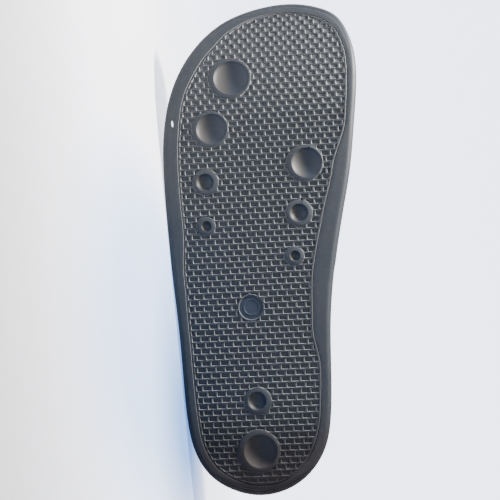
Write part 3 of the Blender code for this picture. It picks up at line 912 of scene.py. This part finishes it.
class StrapSheet:
    """The middle surface of the strap's wall: points, normals and widths."""

    def __init__(self, around_count, place_count):
        self.around = np.linspace(0.0, 1.0, around_count)
        self.place = np.linspace(0.0, 1.0, place_count)
        self.points = np.array([strap_section(place, self.around) for place in self.place])
        by_place = np.gradient(self.points, axis=0)
        self.forward = unit(by_place)
        self.normal = unit(np.cross(by_place, np.gradient(self.points, axis=1)))
        steps = np.linalg.norm(np.diff(self.points, axis=0), axis=2)
        self.from_rear = np.vstack([np.zeros(around_count), np.cumsum(steps, axis=0)])
        self.width = self.from_rear[-1]
        self.rise = self.outer_rise()

    def outer_rise(self):
        """How far the cover stands off its plain wall: padding, seams and creases."""
        from_edge = np.minimum(self.from_rear, self.width - self.from_rear)
        free = smoothstep(0.0, 1.0, np.minimum(self.around, 1 - self.around) / TAB_SHARE - 1.0)
        pad = PAD_RISE * smoothstep(SEAM_INSET, SEAM_INSET + PAD_WIDTH, from_edge) * free
        seam = SEAM_DEPTH * np.exp(-(((from_edge - SEAM_INSET) / SEAM_WIDTH) ** 2)) * free
        rise = pad - seam
        for around, place, long, wide, deep, slant in CREASES:
            off = self.around[None, :] - around - slant * (self.place[:, None] - place)
            along = (self.place[:, None] - place) / long
            rise -= deep * np.exp(-((off / wide) ** 2) - along**2)
        return rise


def strap_shape(sheet):
    """The strap as one closed shell, with rounded front and rear edges."""
    half = STRAP_WALL / 2
    outer = sheet.points + sheet.normal * (half + sheet.rise)[:, :, None]
    inner = sheet.points - sheet.normal * half
    rear, front = -sheet.forward[0], sheet.forward[-1]
    for side in (outer, inner):
        side[0] -= rear * EDGE_ROLL
        side[-1] -= front * EDGE_ROLL

    def edge_rows(row, toward, turns):
        """Points round one edge of the wall, from its outer to its inner side."""
        middle = sheet.points[row] - toward * EDGE_ROLL
        normal = sheet.normal[row]
        lift = (half + sheet.rise[row])[:, None]
        rows = []
        for turn in turns:
            up = np.where(math.cos(turn) > 0, lift, half)
            outward = normal * up * math.cos(turn)
            rows.append(middle + outward + toward * EDGE_ROLL * math.sin(turn))
        return rows

    turns = np.radians((30, 60, 90, 120, 150))
    rows = list(outer)
    rows += edge_rows(-1, front, turns)
    rows += list(inner[::-1])
    rows += edge_rows(0, rear, [math.pi - turn for turn in turns])
    shape = bmesh.new()
    grid = [[shape.verts.new(point) for point in row] for row in rows]
    count = len(sheet.place)
    for number, row in enumerate(grid):
        other = grid[(number + 1) % len(grid)]
        inside = count + len(turns) <= number < 2 * count + len(turns) - 1
        for i in range(len(row) - 1):
            face = shape.faces.new((row[i], other[i], other[i + 1], row[i + 1]))
            face.material_index = 1 if inside else 0
    shape.faces.new([row[0] for row in grid[::-1]])
    shape.faces.new([row[-1] for row in grid])
    bmesh.ops.recalc_face_normals(shape, faces=shape.faces[:])
    return shape


def keep_off_floor(made):
    """Flattens a soft piece where it lies on the floor."""
    for corner in made.data.vertices:
        corner.co.z = max(corner.co.z, FLOOR_CLEARANCE)


def stitch_shape(sheet):
    """Stitches along both seam lines of the strap."""
    shape = bmesh.new()
    lifts = STRAP_WALL / 2 + sheet.rise + STITCH_THICKNESS * STITCH_RAISE
    for from_front in (False, True):
        line = []
        for i in range(len(sheet.around)):
            at = sheet.width[i] - SEAM_INSET if from_front else SEAM_INSET
            row = np.interp(at, sheet.from_rear[:, i], np.arange(len(sheet.place)))
            low = int(row)
            mix = row - low
            point = sheet.points[low, i] * (1 - mix) + sheet.points[low + 1, i] * mix
            normal = sheet.normal[low, i]
            lift = lifts[low, i] * (1 - mix) + lifts[low + 1, i] * mix
            line.append((point + normal * lift, normal))
        points, normals = np.array(line).transpose(1, 0, 2)
        travelled = running_length(points)
        low, high = travelled[-1] * TAB_SHARE, travelled[-1] * (1 - TAB_SHARE)
        for middle in np.arange(low, high, STITCH_PITCH):
            add_stitch(shape, points, normals, travelled, middle)
    return shape


def add_stitch(shape, points, normals, travelled, middle):
    """One stitch: a short fat thread that dips into the cover at both ends."""

    def at(distance, table):
        return Vector([np.interp(distance, travelled, table[:, k]) for k in range(3)])

    start = at(middle - STITCH_LENGTH / 2, points)
    end = at(middle + STITCH_LENGTH / 2, points)
    normal = at(middle, normals).normalized()
    along = (end - start).normalized()
    square = normal.cross(along).normalized()
    turn = Matrix((along, square, along.cross(square))).transposed().to_4x4()
    high = STITCH_THICKNESS * STITCH_FLATNESS
    scale = Matrix.Diagonal((STITCH_LENGTH / 2, STITCH_THICKNESS, high, 1.0))
    spot = Matrix.Translation((start + end) / 2)
    segments = {"u_segments": 8, "v_segments": 6}
    bmesh.ops.create_uvsphere(shape, radius=1.0, matrix=spot @ turn @ scale, **segments)


class Nodes:
    """Short hand for building a procedural material."""

    def __init__(self, name):
        self.material = bpy.data.materials.new(name)
        self.material.use_nodes = True
        self.tree = self.material.node_tree
        self.place = self.add("TexCoord", {}).outputs["Object"]

    def fill(self, node, sockets):
        """Links or sets a node's sockets."""
        for name, value in sockets.items():
            socket = node.inputs[name]
            if isinstance(value, bpy.types.NodeSocket):
                self.tree.links.new(value, socket)
            elif isinstance(value, (int, float)):
                socket.default_value = value
            else:
                socket.default_value = (*value, 1.0)[: len(socket.default_value)]

    def add(self, kind, sockets, **settings):
        """A new node with its settings and sockets."""
        node = self.tree.nodes.new("ShaderNode" + kind)
        for name, value in settings.items():
            setattr(node, name, value)
        self.fill(node, sockets)
        return node

    def finished(self, specular, **sockets):
        """The material, with its shader filled: base_color is the socket Base Color."""
        named = {name.replace("_", " ").title(): value for name, value in sockets.items()}
        named["Specular IOR Level"] = specular
        self.fill(self.tree.nodes["Principled BSDF"], named)
        return self.material

    def noise(self, scale, detail=4.0, roughness=0.55):
        sockets = {"Scale": scale, "Detail": detail, "Roughness": roughness}
        sockets["Vector"] = self.place
        return self.add("TexNoise", sockets).outputs["Fac"]

    def voronoi(self, scale, feature="F1"):
        sockets = {"Scale": scale, "Vector": self.place}
        return self.add("TexVoronoi", sockets, feature=feature).outputs["Distance"]

    def axis(self, name):
        """One coordinate of the place, in metres."""
        return self.add("SeparateXYZ", {0: self.place}).outputs[name]

    def ramp(self, value, stops):
        """Colours or greys by a value."""
        node = self.add("ValToRGB", {"Fac": value})
        ramp = node.color_ramp
        while len(ramp.elements) < len(stops):
            ramp.elements.new(0.5)
        for element, (at, colour) in zip(ramp.elements, stops):
            element.position = at
            grey = colour if isinstance(colour, tuple) else (colour,) * 3
            element.color = (*grey, 1.0)
        return node.outputs["Color"]

    def patches(self, noise, dark, light):
        """Two colours or greys in the soft patches of a noise."""
        return self.ramp(noise, ((0.30, dark), (0.70, light)))

    def along(self, name, stops):
        """Colours or greys by a coordinate in metres, between -1 and 1."""
        share = self.math("ADD", self.math("MULTIPLY", self.axis(name), 0.5), 0.5)
        return self.ramp(share, [(at / 2 + 0.5, colour) for at, colour in stops])

    def mix(self, share, one, other, kind="MIX"):
        sockets = {"Factor": share, 6: one, 7: other}
        return self.add("Mix", sockets, data_type="RGBA", blend_type=kind).outputs[2]

    def math(self, kind, one, other=0.0):
        return self.add("Math", {0: one, 1: other}, operation=kind).outputs[0]

    def vector(self, kind, one, other=(0.0, 0.0, 0.0)):
        return self.add("VectorMath", {0: one, 1: other}, operation=kind)

    def attribute(self, name):
        return self.add("Attribute", {}, attribute_name=name).outputs["Fac"]

    def near(self, spot, reach, stretch):
        """A soft mask round a point of the world, stretched along its axes."""
        offset = self.vector("SUBTRACT", self.place, spot).outputs[0]
        scaled = self.vector("DIVIDE", offset, stretch).outputs[0]
        far = self.math("DIVIDE", self.vector("LENGTH", scaled).outputs["Value"], reach)
        return self.math("SUBTRACT", 1.0, self.math("MINIMUM", far, 1.0))

    def bump(self, height, distance, strength=1.0, after=None):
        sockets = {"Distance": distance, "Strength": strength, "Height": height}
        if after:
            sockets["Normal"] = after
        return self.add("Bump", sockets).outputs["Normal"]


def rubber_material():
    """Moulded black rubber gone grey: cloudy colour, fine grain, dust, scuffs and dirt, painted
    highlights on walls, painted shade in bowls.
    """
    n = Nodes("sole_rubber")
    cloud = n.noise(28.0, 3.0)
    base = n.patches(cloud, (0.0062, 0.0082, 0.0112), (0.0105, 0.0122, 0.0150))
    dust = n.ramp(n.noise(420.0, 4.0, 0.7), ((0.52, 0.0), (0.80, 0.45)))
    base = n.mix(dust, base, (0.023, 0.024, 0.025))
    sunk = n.attribute("sunk")
    # Cell floors: lighter than the rib tops, more so towards the toe.
    toe = n.ramp(n.math("MULTIPLY", n.axis("X"), -1.0), ((0.02, 0.0), (0.13, 1.0)))
    floor = n.mix(toe, (0.0140, 0.0154, 0.0172), (0.0175, 0.0190, 0.0220))
    base = n.mix(n.ramp(sunk, ((0.80, 0.0), (1.0, 1.0))), base, floor)
    # Walls of the cells, the groove and the disc are painted much lighter: a painted highlight
    # for the light they catch.
    walls = ((0.0, 0.0), (0.10, 0.35), (0.30, 1.0), (0.78, 1.0), (0.95, 0.15), (1.0, 0.0))
    base = n.mix(n.ramp(sunk, walls), base, (0.094, 0.094, 0.093))
    dish = n.attribute("dish")
    # Bowls and the disc: dark blue on the medial side, a painted shade and reflection, turning to
    # lighter brown on the lateral side, dust and painted light.
    bowl = n.mix(n.attribute("dust_and_painted_shade"), (0.0060, 0.0092, 0.0150), (0.0155, 0.0145, 0.0135))
    base = n.mix(dish, base, bowl)
    heel = n.patches(n.noise(60.0, 5.0, 0.65), 0.60, 1.0)
    heel = n.math("MULTIPLY", n.attribute("heel"), heel)
    base = n.mix(heel, base, (0.0066, 0.0040, 0.0038))
    for spot, reach, stretch in SCUFFS:
        mask = n.ramp(n.near(STANCE @ Vector(spot), reach, stretch), ((0.25, 0.0), (0.55, 1.0)))
        base = n.mix(mask, base, (0.62, 0.63, 0.64))
    rough = n.ramp(n.noise(90.0, 5.0, 0.6), ((0.25, 0.50), (0.75, 0.66)))
    rough = n.mix(dish, rough, (0.54, 0.54, 0.54))
    rough = n.mix(heel, rough, (0.85, 0.85, 0.85))
    grain = n.bump(n.noise(2600.0, 3.0), 0.00003, 0.25)
    swell = n.bump(n.noise(240.0, 3.0), 0.00010, 0.25, grain)
    return n.finished(0.20, base_color=base, roughness=rough, normal=swell)


def footbed_material():
    """Foam footbed: matte, with a fine pebble."""
    n = Nodes("footbed_foam")
    base = n.patches(n.noise(18.0, 4.0), (0.0095, 0.0098, 0.0108), (0.0135, 0.0138, 0.0148))
    polished = n.patches(n.noise(35.0, 5.0), 0.2, 0.8)
    polished = n.math("MULTIPLY", n.attribute("foot"), polished)
    base = n.mix(polished, base, (0.021, 0.0205, 0.020))
    rough = n.patches(n.noise(50.0), 0.62, 0.78)
    pebble = n.bump(n.voronoi(900.0, "SMOOTH_F1"), 0.00035, 0.6)
    grain = n.bump(n.noise(3000.0, 2.0), 0.00004, 0.4, pebble)
    return n.finished(0.22, base_color=base, roughness=rough, normal=grain)


def cover_material():
    """Synthetic leather of the strap: satin, with a pressed grain."""
    n = Nodes("strap_cover")
    base = n.patches(n.noise(24.0, 4.0), (0.0048, 0.0050, 0.0056), (0.0078, 0.0080, 0.0088))
    dust = n.ramp(n.noise(300.0, 5.0, 0.7), ((0.56, 0.0), (0.85, 0.35)))
    base = n.mix(dust, base, (0.018, 0.018, 0.019))
    rough = n.patches(n.noise(70.0, 4.0), 0.42, 0.58)
    grain = n.bump(n.voronoi(1250.0, "DISTANCE_TO_EDGE"), 0.00022, 0.7)
    grain = n.bump(n.noise(500.0, 4.0), 0.00008, 0.5, grain)
    coat = {"coat_weight": 0.03, "coat_roughness": 0.35}
    return n.finished(0.20, base_color=base, roughness=rough, normal=grain, **coat)


def lining_material():
    """Knitted lining on the strap's inner side."""
    n = Nodes("strap_lining")
    base = n.patches(n.noise(40.0, 4.0), (0.0070, 0.0070, 0.0078), (0.0120, 0.0120, 0.0130))
    knit = n.bump(n.voronoi(1600.0), 0.0003, 0.8)
    sheen = {"sheen_weight": 0.05, "sheen_roughness": 0.5}
    return n.finished(0.15, base_color=base, roughness=0.9, normal=knit, **sheen)


def thread_material():
    """Black polyester thread."""
    n = Nodes("strap_thread")
    base = n.patches(n.noise(800.0), (0.0075, 0.0075, 0.0082), (0.0130, 0.0130, 0.0140))
    twist = n.bump(n.noise(5000.0, 2.0), 0.00003)
    return n.finished(0.25, base_color=base, roughness=0.55, normal=twist)


def floor_material():
    """Plain pale floor that glows softly, with a painted cool shadow beside the sandal's heel."""
    n = Nodes("studio_floor")
    base = n.mix(1.0, n.along("Y", FLOOR_GREYS), FLOOR_TINT, "MULTIPLY")
    glow = GLOW_COLOUR
    # Painted shadow: darker, bluer colour and glow in two soft patches.
    for spot, reach, stretch, stops, dark, dim in SHADES:
        shade = n.ramp(n.near(spot, reach, stretch), stops)
        base = n.mix(shade, base, dark)
        glow = n.mix(shade, glow, dim)
    glow = n.mix(1.0, glow, n.along("Y", GLOW_GREYS), "MULTIPLY")
    light = {"emission_color": glow, "emission_strength": FLOOR_GLOW}
    return n.finished(0.1, base_color=base, roughness=0.9, **light)


def write_attribute(made, name, values):
    """Stores one number for each corner, for the materials."""
    layer = made.data.attributes.new(name, "FLOAT", "POINT")
    layer.data.foreach_set("value", np.asarray(values, dtype=np.float32))


def heel_dirt(point):
    """How dirty the sole is at a point: most under the heel, fading up its side."""
    up_wall = 1.0 - WALL_DIRT_GONE * smoothstep(*WALL_DIRT, point.z - ground(point.y))
    return up_wall * (1.0 - smoothstep(*HEEL_DIRT, point.y))


def make_outsole():
    """The moulded sole with its tread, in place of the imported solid."""
    shape = tread_shape()
    for corner in shape.verts:
        y = np.interp(corner.co.y, FACE_Y, PLAN_Y)
        corner.co = (corner.co.x, y, ground(y) + corner.co.z)
    start = ground_ring(EDGE.band + VEE_WIDTH / 2)
    loops = add_rings(shape, [start] + outsole_rings())
    # The groove's rings take a share of the cells' colouring: lighter walls, a painted highlight,
    # and the cells' floor colour at its bottom.
    depth = shape.verts.layers.float["sunk"]
    for loop, (_, _, sunk) in zip(loops[1:], VEE_ROWS):
        for corner in loop:
            corner[depth] = sunk
    shape.faces.new(loops[-1][::-1])
    bmesh.ops.remove_doubles(shape, verts=shape.verts[:], dist=MERGE_DISTANCE)
    face_outwards(shape)
    heel = [heel_dirt(corner.co) for corner in shape.verts]
    made = finished("outsole_moulded", shape, [rubber_material()])
    write_attribute(made, "heel", heel)
    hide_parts("outsole")


def make_footbed():
    """The cupped footbed, with a fine moulded border line."""
    edge = Edge(FOOTBED_POINTS)
    rim = edge.inset(RIM_WIDTH + CLEARANCE)
    rings = [bed_ring(edge, rim, share, FOOTBED_THICKNESS) for share in FOOTBED_UNDER_SHARES]
    for turn in np.radians(np.linspace(0, 90, 5)):
        line = edge.inset(RIM_WIDTH + CLEARANCE + FOOTBED_ROUNDING * (1 - math.cos(turn)))
        top = bed(edge, 1.0, line) - FOOTBED_ROUNDING * (1 - math.sin(turn))
        rings.append(ring(line, top))
    lip = edge.inset(RIM_WIDTH + CLEARANCE + FOOTBED_ROUNDING)
    rings += [bed_ring(edge, lip, share, sunk * BORDER_DEPTH) for share, sunk in BORDER_ROWS]
    rings += [bed_ring(edge, lip, share) for share in FOOTBED_TOP_SHARES]
    shape = bmesh.new()
    loops = add_rings(shape, rings)
    shape.faces.new(loops[0][::-1])
    shape.faces.new(loops[-1])
    face_outwards(shape)
    marks = [foot_mark(corner.co) for corner in shape.verts]
    made = finished("footbed_foam", shape, [footbed_material()])
    write_attribute(made, "foot", marks)
    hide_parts("footbed")


def foot_mark(point):
    """How much the foot has worn the footbed at a point."""
    most = 0.0
    for along, across, long, wide in FOOT_MARKS:
        dy = (point.y / LENGTH - along) / long
        dx = (point.x / WIDTH - across) / wide
        most = max(most, math.exp(-dx * dx - dy * dy))
    return most


def make_strap():
    """The strap as a padded band with a lining, and its stitches."""
    sheet = StrapSheet(STRAP_POINTS_AROUND, STRAP_POINTS_ALONG)
    made = finished("strap_band", strap_shape(sheet), [cover_material(), lining_material()])
    keep_off_floor(made)
    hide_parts("strap")
    thread = finished("strap_stitches", stitch_shape(sheet), [thread_material()])
    keep_off_floor(thread)


def make_studio():
    """A round pale floor that curves up into a low wall all round."""
    shape = bmesh.new()
    profile = [(STUDIO_RADIUS * share, 0.0) for share in STUDIO_SHARES]
    for turn in np.radians(np.linspace(0, 90, 13)):
        out, up = math.sin(turn), 1 - math.cos(turn)
        profile.append((STUDIO_RADIUS + STUDIO_BEND * out, STUDIO_BEND * up))
    profile.append((STUDIO_RADIUS + STUDIO_BEND, STUDIO_HEIGHT))
    turns = np.linspace(2 * math.pi, 0.0, STUDIO_POINTS, endpoint=False)
    rings = [[(r * math.cos(t), r * math.sin(t), z) for t in turns] for r, z in profile]
    shape.faces.new(add_rings(shape, rings)[0][::-1])
    mesh_object("studio_floor", shape, [floor_material()])


def make_lights():
    """Key from above the toe, cool fill in front, two soft lights behind, a dim sky."""
    for name, spot, target, size, power, colour in LIGHTS:
        data = bpy.data.lights.new(name, "AREA")
        data.size = size
        data.energy = power
        data.color = colour
        made = added(name, data)
        made.location = spot
        direction = Vector(target) - Vector(spot)
        made.rotation_euler = direction.to_track_quat("-Z", "Y").to_euler()
    world = bpy.context.scene.world or bpy.data.worlds.new("studio")
    bpy.context.scene.world = world
    world.use_nodes = True
    sky = world.node_tree.nodes["Background"]
    sky.inputs["Color"].default_value = (*SKY_COLOUR, 1.0)
    sky.inputs["Strength"].default_value = SKY_STRENGTH


def make_camera():
    """The camera at the photo's angle to the ground face, rolled with the shoe."""
    data = bpy.data.cameras.new("camera")
    data.sensor_width = 36.0
    data.lens = CAMERA_FOCUS_PX / PICTURE_PX * data.sensor_width
    data.clip_start = 0.01
    made = added("camera", data)
    pitch = Matrix.Rotation(math.radians(CAMERA_PITCH), 3, "X")
    yaw = Matrix.Rotation(math.radians(CAMERA_YAW), 3, "Y")
    roll = Matrix.Rotation(math.radians(CAMERA_ROLL), 3, "Z")
    seen = pitch @ yaw @ roll
    axes = []
    for row, sign in ((0, 1), (1, -1), (2, -1)):
        medial, heelward, inward = seen[row]
        axes.append(STANCE.to_3x3() @ Vector((-medial, -heelward, inward)) * sign)
    turn = Matrix(axes).transposed().to_4x4()
    made.matrix_world = Matrix.Translation(STANCE @ Vector(CAMERA_SPOT)) @ turn
    bpy.context.scene.camera = made


make_outsole()
make_footbed()
make_strap()
make_studio()
make_lights()
make_camera()
